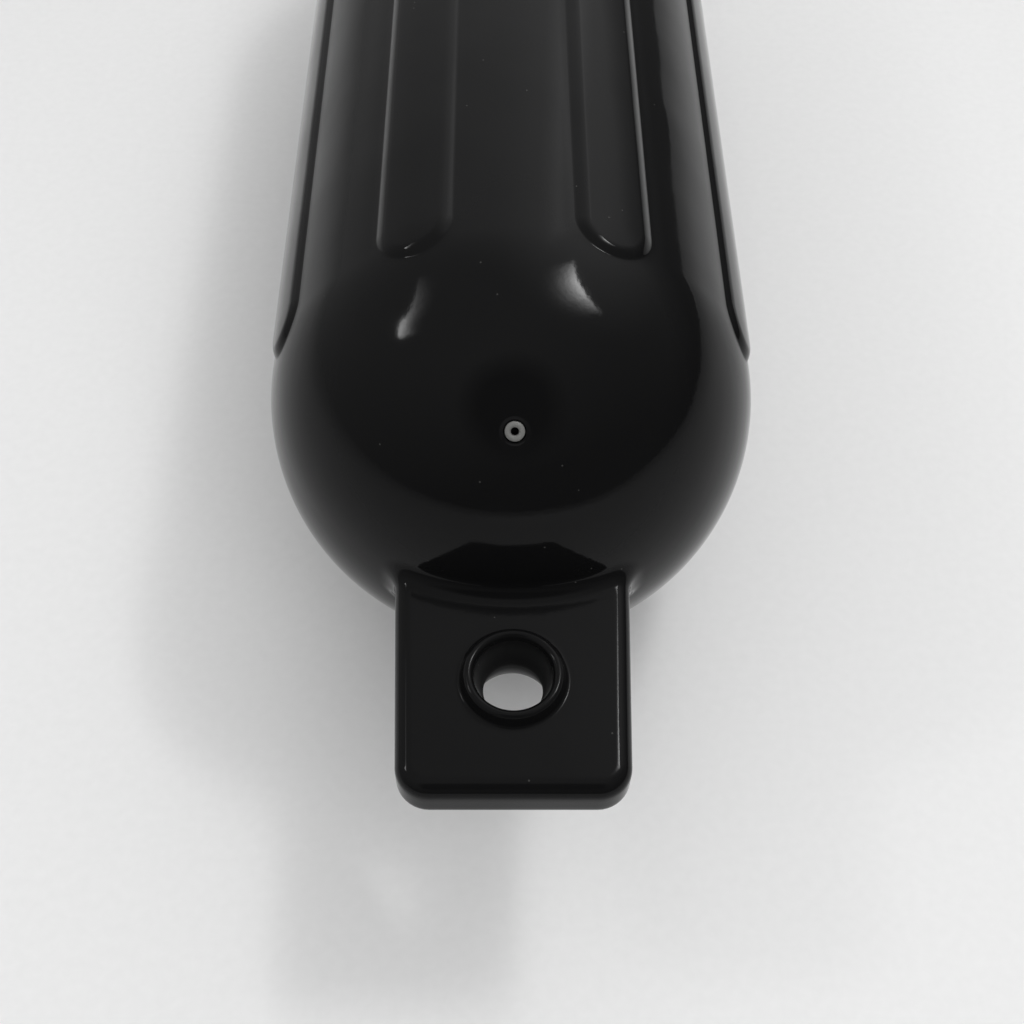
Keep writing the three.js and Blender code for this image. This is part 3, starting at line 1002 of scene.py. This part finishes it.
def softbox(name, azimuth, elevation, distance, size, power):
    """Area lamp turned to the top of the body where the dome begins. Azimuth 0 is +Y, and 90 is +X."""
    target = Vector((0, -DOME_CENTRE, AXIS_HEIGHT + BODY_RADIUS))
    lamp = bpy.data.lights.new(name, "AREA")
    lamp.shape = "RECTANGLE"
    lamp.size, lamp.size_y = size
    lamp.energy = power
    obj = bpy.data.objects.new(name, lamp)
    bpy.context.scene.collection.objects.link(obj)
    around = math.radians(azimuth)
    up = math.radians(elevation)
    away = Vector((math.sin(around) * math.cos(up), math.cos(around) * math.cos(up), math.sin(up)))
    obj.location = target + away * distance
    obj.rotation_euler = away.to_track_quat("Z", "Y").to_euler()
    return obj


def lamps():
    """Key and side light, which show as the two highlights, and a wide front light, which doesn't show."""
    key = softbox("key_light", azimuth=58.5, elevation=64, distance=1.05, size=(0.5, 0.46), power=33)
    fade_lamp(key.data, KEY_FALL, KEY_BRIGHTNESS, KEY_FIRST_LIGHT)
    side = softbox("side_light", azimuth=-72.5, elevation=46.5, distance=1.1, size=(0.5, 0.26), power=15.5)
    fade_lamp(side.data, SIDE_FALL, SIDE_BRIGHTNESS, SIDE_FIRST_LIGHT)
    front = softbox("front_light", azimuth=165, elevation=44, distance=2.6, size=(2.4, 2.4), power=32)
    front.visible_glossy = False


def photo_camera():
    """Camera at the photograph's viewpoint, from the dome's centre as the photograph shows it."""
    camera = bpy.data.cameras.new("photo_camera")
    camera.sensor_width = SENSOR_WIDTH
    camera.lens = SENSOR_WIDTH * FOCAL_PIXELS / PHOTO_SIDE
    camera.clip_start = 0.01
    tilt = math.radians(CAMERA_TILT)
    # Columns: where the part's X, Z and Y axes point in the picture's right, down and forward.
    lay = Matrix(
        (
            (1, 0, 0),
            (0, -math.sin(tilt), -math.cos(tilt)),
            (0, -math.cos(tilt), math.sin(tilt)),
        )
    )
    roll = Matrix.Rotation(math.radians(CAMERA_ROLL), 3, "Z")
    spin = Matrix.Rotation(math.radians(CAMERA_SPIN), 3, "Z")
    to_picture = roll @ lay @ spin
    offset = to_picture.transposed() @ CAMERA_TO_DOME
    right, down, forward = (to_picture[i] for i in range(3))

    def to_world(v):
        return Vector((v[0], v[2], v[1]))

    axes = Matrix((to_world(right), -to_world(down), -to_world(forward))).transposed()
    place = Vector((0, -DOME_CENTRE, AXIS_HEIGHT)) - to_world(offset)
    obj = bpy.data.objects.new("photo_camera", camera)
    bpy.context.scene.collection.objects.link(obj)
    obj.matrix_world = Matrix.Translation(place) @ axes.to_4x4()
    bpy.context.scene.camera = obj


body = fender_skin()
body.data.materials.append(black_pvc())
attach(body, "root")
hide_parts("fender_body")

valve = valve_plug()
valve.data.materials.append(valve_grey())
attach(valve, "root")
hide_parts("inflation_valve")

floor()
studio_room()
lamps()
photo_camera()
bpy.context.scene.view_settings.view_transform = "Standard"
